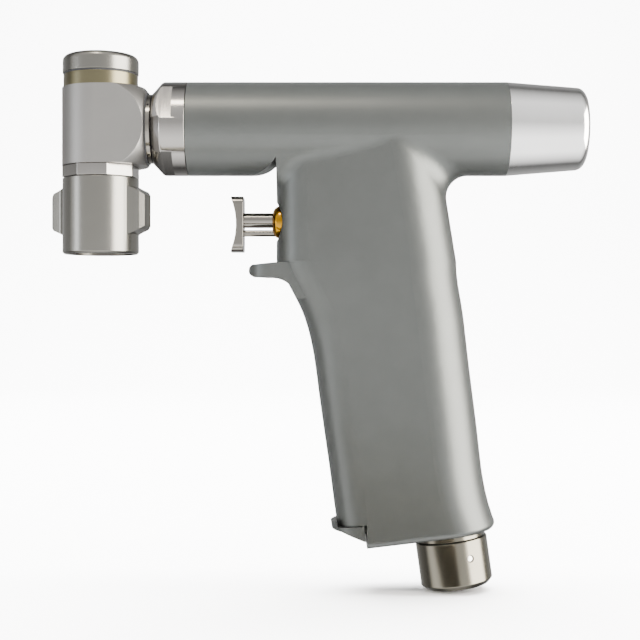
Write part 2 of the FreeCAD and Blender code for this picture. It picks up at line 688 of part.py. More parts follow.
def wing(turn):
    """One wing along +X, turned about the head axis: bevelled in plan, slanted above and below."""
    half = WING_WIDTH / 2
    root_half = half + WING_BLEND_R
    root = math.sqrt(SLEEVE_R ** 2 - root_half ** 2) - 0.3
    blend_end = root + WING_BLEND_R + 0.6
    middle = (root + (blend_end - root) * 0.25, half + WING_BLEND_R * 0.30)
    tip = WING_REACH
    plan = face([
        (root - 4, root_half), (root, root_half), (middle, (blend_end, half)), (tip - WING_BEVEL, half),
        (tip, half - WING_BEVEL), (tip, WING_BEVEL - half), (tip - WING_BEVEL, -half),
        (blend_end, -half), ((middle[0], -middle[1]), (root, -root_half)), (root - 4, -root_half),
    ], lambda x, y: V(HEAD_X + x, y, SLEEVE_BOTTOM)).extrude(V(0, 0, SLEEVE_LENGTH))
    low, high = SLEEVE_BOTTOM + WING_LOW, SLEEVE_BOTTOM + WING_HIGH
    start = SLEEVE_R - 0.4
    side = side_slab([
        (HEAD_X, low - 4 * WING_SLANT), (HEAD_X + start, low - WING_SLANT),
        (HEAD_X + tip - 1.4, low - 0.2), (HEAD_X + tip + 1, low + 1.6),
        (HEAD_X + tip + 1, high - 2.2), (HEAD_X + tip - 1.4, high), (HEAD_X + start, high + WING_SLANT),
        (HEAD_X, high + 4 * WING_SLANT),
    ], -THROUGH / 2, THROUGH / 2)
    blade = plan.common(side)
    blade.rotate(V(HEAD_X, 0, 0), V(0, 0, 1), turn)
    return blade


def cam_ring():
    """Ring in the sleeve with two ramps that push the release pin down as the sleeve turns."""
    ring = ring_z(CAM_BOTTOM + 0.2, CAM_TOP, SLEEVE_CHAMBER_R, CAM_INNER_R)
    lead, dwell, steps = 4, 8, 6
    for start in (0, 180):
        wires = []
        for step in range(steps + 2):
            share = min(step, steps) / steps
            past = dwell if step > steps else 0
            angle = math.radians(start - lead - (RELEASE_TURN + lead) * share - past)
            low = CAM_BOTTOM - RELEASE_TRAVEL * share
            corners = [
                V(HEAD_X + r * math.cos(angle), r * math.sin(angle), z)
                for r, z in ((CAM_INNER_R + 0.6, low), (SLEEVE_CHAMBER_R - 0.6, low),
                             (SLEEVE_CHAMBER_R - 0.6, CAM_TOP - 0.5), (CAM_INNER_R + 0.6, CAM_TOP - 0.5))
            ]
            wires.append(Part.makePolygon(corners + corners[:1]))
        ring = ring.fuse(Part.makeLoft(wires, True, True))
    return ring


def spindle():
    """Hollow spindle: nose flange with index pins below, fork seat in the middle."""
    bore = DRAWBAR_R + RUN_FIT
    shoulder = LOWER_BEARING_Z
    flange_top = NOSE_BOTTOM + NOSE_FLANGE_HEIGHT
    body = turned_z([
        (bore, NOSE_BOTTOM), (NOSE_FLANGE_R, NOSE_BOTTOM), (NOSE_FLANGE_R, flange_top),
        (SPINDLE_LOWER_R, flange_top), (SPINDLE_LOWER_R, shoulder), (SPINDLE_R, shoulder),
        (SPINDLE_R, SPINDLE_TOP), (bore, SPINDLE_TOP),
    ])
    slot_low = RELEASE_PIN_Z - RELEASE_TRAVEL - RELEASE_PIN_R - LOOSE_FIT
    slot_high = RELEASE_PIN_Z + RELEASE_PIN_R + LOOSE_FIT
    slot = Part.makeBox(2 * SPINDLE_LOWER_R + 2, 2 * (RELEASE_PIN_R + LOOSE_FIT), slot_high - slot_low,
                        V(HEAD_X - SPINDLE_LOWER_R - 1, -RELEASE_PIN_R - LOOSE_FIT, slot_low))
    body = body.cut(slot)
    pin_low = NOSE_BOTTOM - INDEX_PIN_LENGTH
    pins = [cylinder_z(pin_low, NOSE_BOTTOM, INDEX_PIN_R, x, y) for x, y in index_pins()]
    return body.fuse(pins)


def index_pins():
    places = []
    for pin in range(4):
        angle = math.radians(45 + 90 * pin)
        places.append((HEAD_X + INDEX_PIN_CIRCLE_R * math.cos(angle), INDEX_PIN_CIRCLE_R * math.sin(angle)))
    return places


def rocker_fork():
    """Hub on the spindle with two prongs that embrace the eccentric roller."""
    inner = ROLLER_R + FORK_PLAY
    outer = inner + PRONG_THICKNESS
    low, high = BARREL_Z - FORK_HEIGHT / 2, BARREL_Z + FORK_HEIGHT / 2
    hub = cylinder_z(low, high, FORK_HUB_R)
    arm = Part.makeBox(FORK_TIP_X - HEAD_X, 2 * outer, high - low, V(HEAD_X, -outer, low))
    gap_start = ECCENTRIC_X - ROLLER_LENGTH / 2 - 1.2
    gap = Part.makeBox(20, 2 * inner, high - low + 2, V(gap_start, -inner, low - 1))
    return hub.fuse(arm).cut([gap, cylinder_z(low - 1, high + 1, SPINDLE_R)])


def clamp_parts():
    disc_top = NOSE_BOTTOM - CLAMP_SEAT_GAP
    disc_low = disc_top - CLAMP_DISC_HEIGHT
    nut_low = SPINDLE_TOP + CLAMP_SPRING_HEIGHT
    bar = cylinder_z(disc_low + 0.6, nut_low + DRAWBAR_NUT_HEIGHT - 0.6, DRAWBAR_R)
    bar = bar.cut(cylinder_x(HEAD_X - 5, HEAD_X + 5, RELEASE_PIN_R, RELEASE_PIN_Z))
    disc = cylinder_z(disc_low, disc_top, CLAMP_DISC_R)
    disc = disc.makeChamfer(0.5, [e for e in disc.Edges if e.BoundBox.ZMax < disc_low + 0.01])
    holes = [cylinder_z(disc_low - 1, disc_top + 1, INDEX_PIN_R + LOOSE_FIT, x, y) for x, y in index_pins()]
    disc = disc.cut(holes + [cylinder_z(disc_low + 0.6, disc_top + 1, DRAWBAR_R)])
    nut = cylinder_z(nut_low, nut_low + DRAWBAR_NUT_HEIGHT, DRAWBAR_NUT_R)
    nut = nut.cut(cylinder_z(nut_low - 1, nut_low + DRAWBAR_NUT_HEIGHT - 0.6, DRAWBAR_R))
    pin = cylinder_x(HEAD_X - RELEASE_PIN_REACH, HEAD_X + RELEASE_PIN_REACH, RELEASE_PIN_R, RELEASE_PIN_Z)
    return {"clamp_drawbar": bar, "clamp_disc": disc, "drawbar_nut": nut, "release_pin": pin}


def clamp_spring():
    """A stack of cone washers that pulls the draw bar up."""
    pitch = CLAMP_SPRING_HEIGHT / CLAMP_WASHER_COUNT
    thick = CLAMP_WASHER
    inner, outer = DRAWBAR_R + 0.3, DRAWBAR_NUT_R
    washers = []
    for number in range(CLAMP_WASHER_COUNT):
        low = SPINDLE_TOP + number * pitch
        a, b = (low, low + pitch - thick) if number % 2 == 0 else (low + pitch - thick, low)
        washers.append(turned_z([(inner, a), (outer, b), (outer, b + thick), (inner, a + thick)]))
    return Part.makeCompound(washers)


def motor_cylinder():
    """Cylinder with its bore set low, exhaust slots above and the feed hole below."""
    body = cylinder_x(CYLINDER_FRONT, CYLINDER_REAR, MOTOR_BORE_R - RUN_FIT)
    bore_z = BARREL_Z - CYLINDER_OFFSET
    body = body.cut(cylinder_x(CYLINDER_FRONT - 1, CYLINDER_REAR + 1, CYLINDER_BORE_R, bore_z))
    pitch = CYLINDER_LENGTH / (EXHAUST_SLOT_COUNT + 2)
    slots = []
    for number in range(EXHAUST_SLOT_COUNT):
        corner = V(CYLINDER_FRONT + pitch * (number + 1.5) - EXHAUST_SLOT_WIDTH / 2, -CYLINDER_BORE_R / 2,
                   BARREL_Z + EXHAUST_SLOT_RISE)
        slots.append(Part.makeBox(EXHAUST_SLOT_WIDTH, CYLINDER_BORE_R, MOTOR_BORE_R, corner))
    feed = Part.makeCylinder(PORT_R, 8, V(FEED_PORT_X, 0, BARREL_Z - MOTOR_BORE_R - 1))
    return body.cut(slots + [feed])


def motor_plate(x0, bearing_x):
    plate = ring_x(x0, x0 + PLATE_THICKNESS, MOTOR_BORE_R - RUN_FIT, CRANK_R + 0.3)
    return plate.cut(cylinder_x(bearing_x, bearing_x + MOTOR_BEARING[2], MOTOR_BEARING[1]))


def rotor_parts():
    """Slotted drum on its shaft, and the vanes resting in the slots."""
    low, high = CYLINDER_FRONT + RUN_FIT, CYLINDER_REAR - RUN_FIT
    shaft = cylinder_x(CRANK_REAR + SHAFT_END_GAP, MOTOR_REAR + 1, CRANK_R)
    body = cylinder_x(low, high, ROTOR_R).fuse(shaft)
    floor = BARREL_Z + ROTOR_R - VANE_DEPTH
    vanes = []
    for number in range(VANE_COUNT):
        slot = Part.makeBox(high - low + 2, VANE_THICKNESS, VANE_DEPTH + 1,
                            V(low - 1, -VANE_THICKNESS / 2, floor))
        vane = Part.makeBox(high - low, VANE_THICKNESS - VANE_FIT, VANE_DEPTH - 0.1,
                            V(low, (VANE_FIT - VANE_THICKNESS) / 2, floor))
        for shape in (slot, vane):
            shape.rotate(V(0, 0, BARREL_Z), V(1, 0, 0), 360 / VANE_COUNT * number)
        body = body.cut(slot)
        vanes.append(vane)
    return {"rotor": body, "rotor_vanes": Part.makeCompound(vanes)}


def crankshaft():
    """Long shaft through the barrel, ending in a counterweight and an eccentric pin."""
    pin_end = ECCENTRIC_X - ROLLER_LENGTH / 2 - 0.4
    shaft = cylinder_x(COUNTERWEIGHT_FRONT, CRANK_REAR, CRANK_R)
    weight = cylinder_x(COUNTERWEIGHT_FRONT, COUNTERWEIGHT_REAR, COUNTERWEIGHT_R)
    relief = Part.makeBox(COUNTERWEIGHT_LENGTH + 2, THROUGH, COUNTERWEIGHT_R,
                          V(COUNTERWEIGHT_FRONT - 1, -THROUGH / 2, BARREL_Z + CRANK_R))
    pin = cylinder_x(pin_end, COUNTERWEIGHT_FRONT, ROLLER_BORE_R, BARREL_Z + THROW)
    return shaft.fuse([weight.cut(relief), pin])


def eccentric_roller():
    """Crowned roller, so that it rolls on the prongs at every angle of the fork."""
    half = ROLLER_LENGTH / 2
    return turned_x([
        (ECCENTRIC_X - half, ROLLER_BORE_R), (ECCENTRIC_X - half, ROLLER_R - ROLLER_CROWN),
        ((ECCENTRIC_X, ROLLER_R), (ECCENTRIC_X + half, ROLLER_R - ROLLER_CROWN)),
        (ECCENTRIC_X + half, ROLLER_BORE_R),
    ], BARREL_Z + THROW)


def drive_coupling():
    """Split sleeve that joins the rotor shaft to the crankshaft."""
    end = COUPLING_FRONT + COUPLING_LENGTH
    sleeve = ring_x(COUPLING_FRONT, end, COUPLING_R, CRANK_R)
    slot = Part.makeBox(COUPLING_LENGTH + 2, COUPLING_SLOT, COUPLING_R + 1,
                        V(COUPLING_FRONT - 1, -COUPLING_SLOT / 2, BARREL_Z))
    return sleeve.cut(slot)


def rear_cap():
    """Tapered polished cap on a spigot that closes the motor bore."""
    end = BARREL_REAR + REAR_CAP_LENGTH
    knee = end - REAR_CAP_CORNER
    mid = REAR_CAP_CORNER * 0.293
    inner = REAR_SPIGOT_R - REAR_SPIGOT_WALL
    front = BARREL_REAR - REAR_SPIGOT_LENGTH
    groove = BARREL_REAR - REAR_SPIGOT_LENGTH / 2
    floor = REAR_SPIGOT_R - 2 * REAR_SEAL_R + 0.1
    return turned_x([
        (end, 0), (end, REAR_CAP_END_R - REAR_CAP_CORNER),
        ((end - mid, REAR_CAP_END_R - mid), (knee, REAR_CAP_END_R)),
        (BARREL_REAR, BARREL_R), (BARREL_REAR, REAR_SPIGOT_R),
        (groove + REAR_SEAL_R, REAR_SPIGOT_R), (groove + REAR_SEAL_R, floor),
        (groove - REAR_SEAL_R, floor), (groove - REAR_SEAL_R, REAR_SPIGOT_R),
        (front, REAR_SPIGOT_R), (front, inner), (BARREL_REAR + 2, inner),
        (BARREL_REAR + 4, BARREL_R - REAR_CAP_WALL - 0.4), (knee, REAR_CAP_END_R - REAR_CAP_WALL),
        (end - REAR_CAP_WALL, REAR_CAP_END_R - REAR_CAP_CORNER - 0.6), (end - REAR_CAP_WALL, 0),
    ])


def rear_cap_seal():
    groove = BARREL_REAR - REAR_SPIGOT_LENGTH / 2
    return Part.makeTorus(REAR_SPIGOT_R - REAR_SEAL_R + 0.1, REAR_SEAL_R, V(groove, 0, BARREL_Z), V(1, 0, 0))


def motor_spring():
    """Cone washer between the motor and the rear cap."""
    low, high = MOTOR_REAR, BARREL_REAR - REAR_SPIGOT_LENGTH
    inner, outer = MOTOR_BORE_R - 3.8, MOTOR_BORE_R - 0.8
    thick = 0.6
    return turned_x([(low, inner), (high - thick, outer), (high, outer), (low + thick, inner)])


def trigger_button():
    """Finger pad: flat behind, dished in front along its height, with rounded corners."""
    half = BUTTON_HEIGHT / 2
    middle = (VALVE_Z + GUIDE_Z) / 2 + BUTTON_RAISE
    sag = BUTTON_DISH_R - math.sqrt(BUTTON_DISH_R ** 2 - half ** 2)
    front = BUTTON_BACK - BUTTON_THICKNESS
    pad = side_slab([
        (BUTTON_BACK, middle + half), (front - sag, middle + half),
        ((front, middle), (front - sag, middle - half)), (BUTTON_BACK, middle - half),
    ], -BUTTON_WIDTH / 2, BUTTON_WIDTH / 2)
    corners = [edge for edge in pad.Edges if edge.BoundBox.XLength > BUTTON_THICKNESS
               and edge.BoundBox.ZLength < 0.01 and edge.BoundBox.YLength < 0.01]
    return pad.makeFillet(BUTTON_CORNER_R, corners)


def trigger_bushing():
    """Gold guide bush with a domed flange and two holes, for the stem and the guide pin."""
    back = SPOT_FACE - WASHER_THICKNESS
    front = back - BUSHING_FLANGE
    tip = front - BUSHING_DOME
    crown = (front - BUSHING_DOME * 0.62, BUSHING_FLANGE_R * 0.8)
    bush = turned_x([
        (tip, 0), (tip, BUSHING_FLANGE_R / 2), (crown, (front, BUSHING_FLANGE_R)),
        (back, BUSHING_FLANGE_R), (back, BUSHING_SHANK_R), (BUSHING_SHANK_END, BUSHING_SHANK_R),
        (BUSHING_SHANK_END, 0),
    ], VALVE_Z)
    return bush.cut([
        cylinder_x(tip - 1, BUSHING_SHANK_END + 1, STEM_R + RUN_FIT, STEM_Z),
        cylinder_x(tip - 1, BUSHING_SHANK_END + 1, GUIDE_R + RUN_FIT, GUIDE_Z),
    ])


def trigger_washer():
    return ring_x(SPOT_FACE - WASHER_THICKNESS, SPOT_FACE, WASHER_R, BUSHING_SHANK_R + RUN_FIT, VALVE_Z)


def valve_body():
    """Valve cartridge behind the bush: spool bore, feed port above and inlet port below."""
    body = cylinder_x(SPOT_FACE, CARTRIDGE_END, CARTRIDGE_R, VALVE_Z)
    inlet = base_cylinder(inlet_top() - 3, inlet_top() + 6, PORT_R)
    return body.cut([
        cylinder_x(SPOT_FACE - 1, BUSHING_SHANK_END, BUSHING_SHANK_R + RUN_FIT, VALVE_Z),
        cylinder_x(BUSHING_SHANK_END - 1, CARTRIDGE_END + 1, SPOOL_R, STEM_Z),
        Part.makeCylinder(PORT_R, 10, V(FEED_PORT_X, 0, STEM_Z)),
        inlet,
    ])


def valve_spool():
    """Spool with two lands, carried on the inner end of the stem."""
    r = SPOOL_R - RUN_FIT
    taper = SPOOL_LAND + 1
    return turned_x([
        (SPOOL_START, 0), (SPOOL_START, r), (SPOOL_START + SPOOL_LAND, r),
        (SPOOL_START + taper, SPOOL_WAIST_R),
        (SPOOL_END - taper - 1, SPOOL_WAIST_R), (SPOOL_END - taper, r), (SPOOL_END, r), (SPOOL_END, 0),
    ], STEM_Z)


def valve_spring():
    """Coil spring of square wire between the spool and the plug."""
    half = SPRING_WIRE / 2
    length = SPRING_SPACE - SPRING_WIRE
    pitch = length / SPRING_TURNS
    climb = math.atan2(pitch, 2 * math.pi * SPRING_R)
    corners = [(1, 1), (-1, 1), (-1, -1), (1, -1), (1, 1)]
    section = Part.makePolygon([
        V(SPRING_R + x * half, -y * half * math.sin(climb), y * half * math.cos(climb)) for x, y in corners
    ])
    coil = Part.Wire(Part.makeHelix(pitch, length, SPRING_R).Edges).makePipeShell([section], True, True)
    coil.rotate(V(0, 0, 0), V(0, 1, 0), 90)
    coil.translate(V(SPOOL_END + half, 0, STEM_Z))
    return coil


def safety_lever():
    """Run and safe lever: a ring on the connector shank, an arm, and a lip round the front of the grip."""
    outer = grip_shell()[1]
    outer.translate(V(-LEVER_LIP - LEVER_LIP_GAP, 0, 0))
    front = grip_front(BASE_Z)
    swing_r = (BASE_X - front) * RISE + LEVER_LIP_GAP
    under = side_slab([
        (front - 20, BASE_Z - 20), (front - 20, BASE_Z + 4), (front + 1, BASE_Z + 1.2),
        (LEVER_STEP_X, BASE_Z - 1.6), (LEVER_STEP_X, BASE_Z - 20),
    ], -THROUGH / 2, THROUGH / 2)
    band = base_slab(LEVER_SKIRT, LEVER_TOP + LEVER_LIP_HEIGHT)
    skirt = outer.common(band).common(ahead_of_step(LEVER_LIP_GAP))
    swing_room = base_cylinder(LEVER_TOP, LEVER_TOP + 10, swing_r)
    skirt = skirt.cut([swing_room, base_cylinder(-5, 20, LEVER_INNER_R), under])
    arm_low = LEVER_TOP - LEVER_ARM_THICKNESS
    arm = Part.makeBox(LEVER_INNER_R + 2 - SHANK_R, LEVER_ARM_WIDTH, LEVER_ARM_THICKNESS,
                       V(-LEVER_INNER_R - 2, -LEVER_ARM_WIDTH / 2, arm_low))
    arm.rotate(V(0, 0, 0), V(0, 0, 1), LEVER_REST)
    ring = Part.makeCylinder(LEVER_RING_R, LEVER_ARM_THICKNESS, V(0, 0, arm_low))
    lever = to_base(arm.fuse(ring)).fuse(skirt)
    return lever.cut(base_cylinder(-1, 20, SHANK_R + RUN_FIT))


def hose_connector():
    """Turned cup with a threaded shank up into the grip."""
    passage = AIR_PASSAGE_R - 0.4
    cup = [
        (passage, SHANK_LENGTH), (SHANK_R, SHANK_LENGTH), (SHANK_R, 0), (CONNECTOR_NECK_R, 0),
        (CONNECTOR_NECK_R, -CONNECTOR_NECK), (CONNECTOR_R, -CONNECTOR_NECK),
        (CONNECTOR_R, CONNECTOR_CHAMFER - CONNECTOR_LENGTH),
        (CONNECTOR_R - CONNECTOR_CHAMFER, -CONNECTOR_LENGTH), (SOCKET_R, -CONNECTOR_LENGTH),
        (SOCKET_R, SOCKET_FLOOR), (passage, SOCKET_FLOOR),
    ]
    body = face(cup, lambda r, w: V(r, 0, w)).revolve(V(0, 0, 0), V(0, 0, 1), 360)
    holes = [lock_pin(number, CONNECTOR_R + 1) for number in range(LOCK_PIN_COUNT)]
    seat_r = CONNECTOR_SEAL_RING_R + CONNECTOR_SEAL_R + PRESS_GAP
    seat = Part.makeCylinder(seat_r, 2 * CONNECTOR_SEAL_R, V(0, 0, SOCKET_FLOOR))
    tube_seat = Part.makeCylinder(INLET_TUBE_R, INLET_TUBE_SEAT + 1, V(0, 0, SHANK_LENGTH - INLET_TUBE_SEAT))
    return to_base(body.cut(holes + [seat, tube_seat]))


def lock_pin(number, outer):
    """Radial locking pin of the hose coupling, its inner end flush with the socket wall."""
    angle = math.radians(LOCK_PIN_TURN + 360 / LOCK_PIN_COUNT * number)
    way = V(math.cos(angle), math.sin(angle), 0)
    inner = SOCKET_R + LOCK_PIN_RECESS
    return Part.makeCylinder(LOCK_PIN_R, outer - inner, way * inner + V(0, 0, -LOCK_PIN_DEPTH), way)


def connector_pins():
    pins = [lock_pin(number, CONNECTOR_R - 0.4) for number in range(LOCK_PIN_COUNT)]
    return to_base(Part.makeCompound(pins))


def connector_seal():
    centre = V(0, 0, SOCKET_FLOOR + CONNECTOR_SEAL_R)
    return to_base(Part.makeTorus(CONNECTOR_SEAL_RING_R, CONNECTOR_SEAL_R, centre))


def base_plate():
    """Plate in the base pocket, with sunk holes for its screws."""
    plate = grip_shell(POCKET_WALL + PRESS_GAP)[1].common(base_slab(PLATE_RECESS, PLATE_RECESS + BASE_PLATE))
    holes = [base_cylinder(-1, 4, SCREW_R + 0.1, u, v) for u, v in screw_places()]
    sinks = [base_cylinder(0, PLATE_RECESS + SCREW_HEAD, SCREW_HEAD_R + 0.1, u, v) for u, v in screw_places()]
    return plate.cut(holes + sinks + [ahead_of_step(), base_cylinder(-1, 4, SHANK_R + 0.1)])


def base_screws():
    """Two slotted screws that hold the base plate."""
    screws = []
    slot_width = 0.5
    for u, v in screw_places():
        head = base_cylinder(PLATE_RECESS, PLATE_RECESS + SCREW_HEAD, SCREW_HEAD_R, u, v)
        stem = base_cylinder(PLATE_RECESS, PLATE_RECESS + SCREW_LENGTH, SCREW_R, u, v)
        slot = Part.makeBox(4 * SCREW_HEAD_R, slot_width, slot_width,
                            V(u - 2 * SCREW_HEAD_R, v - slot_width / 2, PLATE_RECESS))
        screws.append(head.fuse(stem).cut(to_base(slot)))
    return Part.makeCompound(screws)


def inlet_tube():
    """Air tube from the connector up to the underside of the valve."""
    top = inlet_top()
    tube = base_cylinder(SHANK_LENGTH - INLET_TUBE_SEAT, top, INLET_TUBE_R)
    bore = base_cylinder(0, top + 1, INLET_TUBE_R - INLET_TUBE_WALL)
    return tube.cut([bore, cylinder_x(SPOT_FACE, CARTRIDGE_END + 10, CARTRIDGE_R, VALVE_Z)])


def exhaust_muffler():
    """Porous sleeve in the exhaust way, closed at its upper end."""
    high = MUFFLER_SEAT + MUFFLER_LENGTH
    tube = base_cylinder(MUFFLER_SEAT, high, MUFFLER_R, u=-MUFFLER_AHEAD)
    bore_r = MUFFLER_R - MUFFLER_WALL
    return tube.cut(base_cylinder(MUFFLER_SEAT - 1, high - MUFFLER_WALL, bore_r, u=-MUFFLER_AHEAD))


def build():
    low_outer, low_inner = bearing(*SPINDLE_BEARING, place_on_head(LOWER_BEARING_Z))
    up_outer, up_inner = bearing(*SPINDLE_BEARING, place_on_head(UPPER_BEARING_Z))
    crank_outer, crank_inner = bearing(*CRANK_BEARING, place_on_barrel(CRANK_BEARING_X))
    front_x = MOTOR_FRONT + 0.5
    rear_x = MOTOR_REAR - PLATE_THICKNESS + 0.5
    front_outer, front_inner = bearing(*MOTOR_BEARING, place_on_barrel(front_x))
    rear_outer, rear_inner = bearing(*MOTOR_BEARING, place_on_barrel(rear_x))
    parts = {
        "handle_housing": handle_housing(),
        "rear_cap": rear_cap(),
        "rear_cap_seal": rear_cap_seal(),
        "neck_nut": neck_nut(),
        "index_ring": index_ring(),
        "neck_seal": ring_x(HEAD_END, INDEX_RING_FRONT, NECK_SEAL_R, NECK_TUBE_R + RUN_FIT),
        "head_housing": head_housing(),
        "head_ring": ring_z(HEAD_TOP, RING_TOP, BRONZE_RING_R, SPINDLE_BEARING[1] - 1.0),
        "head_cap_seal": ring_z(RING_TOP, CAP_BOTTOM, BRONZE_RING_R - 0.1, SPINDLE_BEARING[1]),
        "head_cap": head_cap(),
        "bearing_retainer": bearing_retainer(),
        "sleeve_retaining_ring": sleeve_ring(),
        "lower_bearing_outer": low_outer,
        "upper_bearing_outer": up_outer,
        "crank_bearing_outer": crank_outer,
        "motor_front_bearing_outer": front_outer,
        "motor_rear_bearing_outer": rear_outer,
        "motor_cylinder": motor_cylinder(),
        "motor_front_plate": motor_plate(MOTOR_FRONT, front_x),
        "motor_rear_plate": motor_plate(MOTOR_REAR - PLATE_THICKNESS, rear_x),
        "motor_spring": motor_spring(),
        "valve_body": valve_body(),
        "valve_plug": cylinder_x(CARTRIDGE_END - VALVE_PLUG_LENGTH, CARTRIDGE_END, SPOOL_R, STEM_Z),
        "valve_spring": valve_spring(),
        "trigger_bushing": trigger_bushing(),
        "trigger_washer": trigger_washer(),
        "inlet_tube": inlet_tube(),
        "exhaust_muffler": exhaust_muffler(),
        "base_plate": base_plate(),
        "base_screws": base_screws(),
        "hose_connector": hose_connector(),
        "connector_pins": connector_pins(),
        "connector_seal": connector_seal(),
        "rotor_coupling": drive_coupling(),
        "crankshaft": crankshaft(),
        "crank_bearing_inner": crank_inner,
        "motor_front_bearing_inner": front_inner,
        "motor_rear_bearing_inner": rear_inner,
        "eccentric_roller": eccentric_roller(),
        "spindle": spindle(),
        "rocker_fork": rocker_fork(),
        "lower_bearing_inner": low_inner,
        "upper_bearing_inner": up_inner,
        "clamp_spring": clamp_spring(),
        "wing_sleeve": wing_sleeve(),
        "cam_ring": cam_ring(),
        "trigger_button": trigger_button(),
        "trigger_stem": cylinder_x(BUTTON_BACK, SPOOL_START, STEM_R, STEM_Z),
        "trigger_guide_pin": cylinder_x(BUTTON_BACK, GUIDE_END, GUIDE_R, GUIDE_Z),
        "valve_spool": valve_spool(),
        "safety_lever": safety_lever(),
    }
    parts.update(rotor_parts())
    parts.update(clamp_parts())
    return parts


def main():
    os.makedirs("parts", exist_ok=True)
    for name, shape in build().items():
        if not shape.isValid() or shape.Volume <= 0:
            print("check", name, shape.isValid(), round(shape.Volume, 2))
        shape.exportStep("parts/" + name + ".step")


main()
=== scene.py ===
"""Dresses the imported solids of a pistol-grip pneumatic oscillating saw: turned and bevelled steel pieces,
finishes, studio light and the camera. Shapes are drawn in millimetres, as on the workshop drawing."""
import math

import bmesh
import bpy
from mathutils import Matrix, Vector


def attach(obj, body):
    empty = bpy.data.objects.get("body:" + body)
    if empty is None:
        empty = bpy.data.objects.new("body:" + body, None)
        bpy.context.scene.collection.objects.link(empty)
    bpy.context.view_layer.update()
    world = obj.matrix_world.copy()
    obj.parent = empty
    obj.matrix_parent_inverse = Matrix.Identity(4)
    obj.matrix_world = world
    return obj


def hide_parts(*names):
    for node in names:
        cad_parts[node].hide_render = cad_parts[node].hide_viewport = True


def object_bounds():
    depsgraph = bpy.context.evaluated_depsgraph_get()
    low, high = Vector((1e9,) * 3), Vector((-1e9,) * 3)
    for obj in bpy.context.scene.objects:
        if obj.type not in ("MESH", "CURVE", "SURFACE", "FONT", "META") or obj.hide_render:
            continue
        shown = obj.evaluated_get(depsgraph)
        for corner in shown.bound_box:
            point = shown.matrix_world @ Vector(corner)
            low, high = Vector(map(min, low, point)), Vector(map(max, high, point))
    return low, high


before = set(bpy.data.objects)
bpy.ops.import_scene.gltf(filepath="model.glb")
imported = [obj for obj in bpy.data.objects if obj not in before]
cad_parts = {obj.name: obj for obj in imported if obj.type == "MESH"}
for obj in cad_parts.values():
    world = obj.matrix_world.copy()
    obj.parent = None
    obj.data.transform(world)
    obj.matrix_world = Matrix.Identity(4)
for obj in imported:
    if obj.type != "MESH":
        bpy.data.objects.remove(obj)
cad_low, cad_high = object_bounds()

# Millimetres to metres, how finely a round piece is turned, and the angle from which an edge counts as sharp
MM = 0.001
ROUND = 128
SHARP = math.radians(25)

# Axes of the saw, in millimetres: local Z runs along each one
BARREL_Z = 77.0
HEAD_X = -93.1
VALVE_Z = 47.2
STEM_Z = 47.8
GUIDE_Z = 43.7
BARREL = Matrix.Translation((0, 0, BARREL_Z)) @ Matrix.Rotation(math.radians(90), 4, "Y")
HEAD = Matrix.Translation((HEAD_X, 0, 0))
VALVE = Matrix.Translation((0, 0, VALVE_Z)) @ Matrix.Rotation(math.radians(90), 4, "Y")
BASE = Matrix.Translation((18.6, 0, -51.9)) @ Matrix.Rotation(math.radians(-8), 4, "Y")

# Outer sizes that several pieces share
BARREL_R = 14.9
HEAD_BOTTOM, HEAD_TOP = 65.1, 89.8
HEAD_END = -78.1
NUT_FRONT, NUT_REAR = -76.4, -64.9
RETAINER_BOTTOM = 61.3
SLEEVE_BOTTOM, SLEEVE_TOP = 37.0, 61.1
BUTTON_BACK = -47.3
SOCKET_R = 8.2
PIN_DEPTH = -7.3


# Shapes
def turned(corners, axis, segments=4, steps=ROUND):
    """An outline of (height, radius, rounding) corners, each rounded, then spun about an axis."""
    bm = bmesh.new()
    points = [bm.verts.new((radius, 0, height)) for height, radius, rounding in corners]
    bm.faces.new(points)
    for point, (height, radius, rounding) in zip(points, corners):
        if rounding:
            bmesh.ops.bevel(bm, geom=[point], offset=rounding, segments=segments, profile=0.5,
                            affect="VERTICES", material=-1)
    bmesh.ops.delete(bm, geom=bm.faces[:], context="FACES_ONLY")
    on_axis = [edge for edge in bm.edges if all(abs(vert.co.x) < 1e-5 for vert in edge.verts)]
    bmesh.ops.delete(bm, geom=on_axis, context="EDGES")
    bmesh.ops.spin(bm, geom=bm.verts[:] + bm.edges[:], cent=(0, 0, 0), axis=(0, 0, 1), angle=math.tau,
                   steps=steps, use_merge=True)
    bmesh.ops.remove_doubles(bm, verts=bm.verts[:], dist=1e-4)
    bmesh.ops.recalc_face_normals(bm, faces=bm.faces[:])
    bmesh.ops.transform(bm, matrix=axis, verts=bm.verts[:])
    return bm


def block(low, high):
    """A box between two corners."""
    bm = bmesh.new()
    low, high = Vector(low), Vector(high)
    place = Matrix.Translation((low + high) / 2) @ Matrix.Diagonal((high - low).to_4d())
    bmesh.ops.create_cube(bm, size=1, matrix=place)
    return bm


def plate(corners, way):
    """A flat outline of points, extruded along a way."""
    bm = bmesh.new()
    outline = bm.faces.new([bm.verts.new(corner) for corner in corners])
    raised = bmesh.ops.extrude_face_region(bm, geom=[outline])["geom"]
    bmesh.ops.translate(bm, verts=[part for part in raised if isinstance(part, bmesh.types.BMVert)], vec=way)
    bmesh.ops.recalc_face_normals(bm, faces=bm.faces[:])
    return bm


